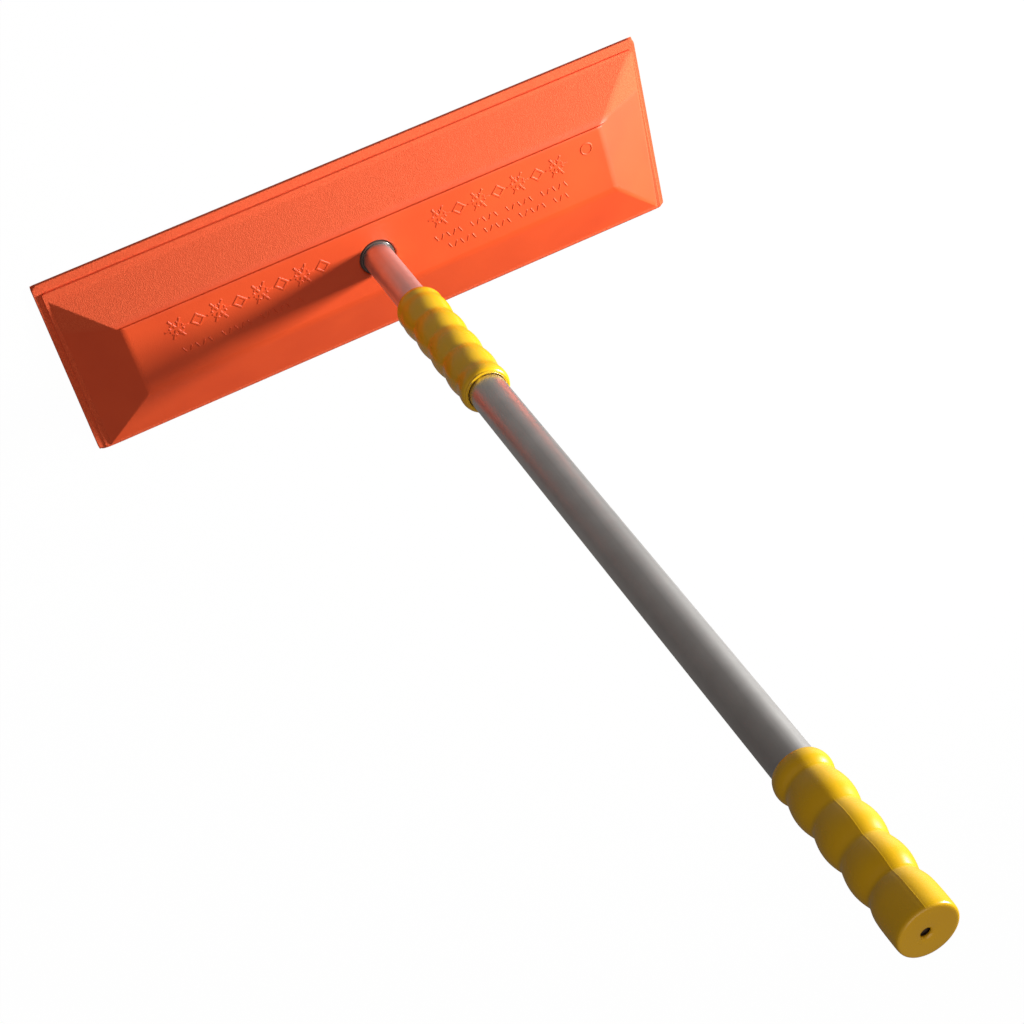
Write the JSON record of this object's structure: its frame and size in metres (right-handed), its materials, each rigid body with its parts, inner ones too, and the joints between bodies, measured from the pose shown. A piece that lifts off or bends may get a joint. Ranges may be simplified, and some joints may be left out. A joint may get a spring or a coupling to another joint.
{
  "type": "snow brush scraper",
  "caption": "Snow rake with a flat moulded-foam push head on a twist-lock telescoping aluminium pole with ringed soft grips.",
  "frame": {"origin": "centre of the head's flat front face, which rests on z = 0", "axes": "+Z along the pole away from the head, +X along the head's long side, +Y along its short side"},
  "size_m": [0.4318, 0.1346, 0.6818],
  "materials": {
    "head_foam": "matte",
    "black_plastic": "satin",
    "grey_plastic": "satin",
    "plated_steel": "satin",
    "tube_aluminium": "satin",
    "black_rubber": "matte",
    "grip_vinyl": "gloss"
  },
  "bodies": {
    "head_and_inner_pole": {"foam_head": "head_foam", "face_disc": "head_foam", "pole_socket": "black_plastic", "socket_washer": "plated_steel", "socket_screw": "plated_steel", "inner_tube": "tube_aluminium", "front_plug": "grey_plastic", "front_plug_pin": "plated_steel", "lock_plug": "grey_plastic", "lock_plug_pin": "plated_steel", "lock_washer": "plated_steel", "lock_screw": "plated_steel"},
    "lock_ring": {"lock_cam": "grey_plastic", "cam_drag_ring": "black_rubber"},
    "outer_pole": {"guide_bush": "black_plastic", "bush_rivets": "tube_aluminium", "outer_tube": "tube_aluminium", "tube_end_plug": "black_plastic", "front_grip": "grip_vinyl", "rear_grip": "grip_vinyl"}
  },
  "joints": [
    {"name": "twist_lock", "type": "hinge", "parent": "head_and_inner_pole", "child": "lock_ring", "pos_m": [0, 0, 0.6], "axis": [0, 0, 1], "range_deg": [-35, 35]},
    {"name": "telescope", "type": "slide", "parent": "lock_ring", "child": "outer_pole", "axis": [0, 0, 1], "range_m": [0, 0.486]}
  ]
}
